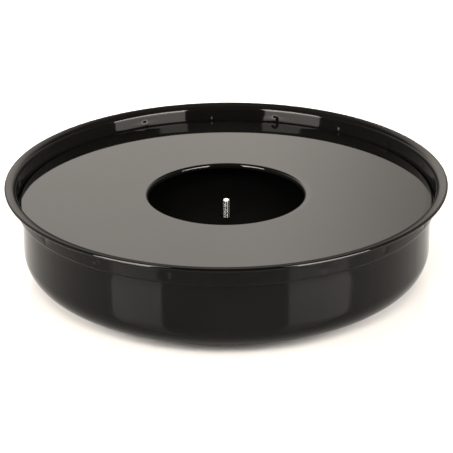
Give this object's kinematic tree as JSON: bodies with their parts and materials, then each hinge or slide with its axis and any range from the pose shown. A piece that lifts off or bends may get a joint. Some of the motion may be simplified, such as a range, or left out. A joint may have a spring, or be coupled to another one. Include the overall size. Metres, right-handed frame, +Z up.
{
  "type": "umbrella stand base",
  "caption": "Round black pressed-steel umbrella stand base: pan with curled rim, loose cover plate with a central hole, hidden ballast and a threaded stud.",
  "frame": {"origin": "on the floor under the axis of the pan, at the underside of the foot pads", "axes": "+Z up along the axis of the pan; -Y is the side seen from the front; +X to the right from there"},
  "size_m": [0.4002, 0.4002, 0.089],
  "materials": {
    "pan_enamel": "high-gloss black enamel on pressed steel",
    "cover_enamel": "mirror-gloss black enamel on flat steel sheet",
    "black_ballast": "cast concrete, painted matt black",
    "zinc": "bright zinc plating",
    "rubber": "matt black rubber"
  },
  "bodies": {
    "base": {"pan": "pan_enamel", "ballast_disc": "black_ballast", "stud_bolt": "zinc", "head_washer": "zinc", "sealing_washer": "rubber", "nut_washer": "zinc", "stud_nut": "zinc", "foot_pad_back_right": "rubber", "foot_pad_back_left": "rubber", "foot_pad_front_left": "rubber", "foot_pad_front_right": "rubber"},
    "cover": {"cover_plate": "cover_enamel"}
  },
  "joints": [
    {"name": "cover_plate_lift", "type": "slide", "parent": "base", "child": "cover", "axis": [0, 0, 1], "range_m": [0, 0.06]}
  ]
}
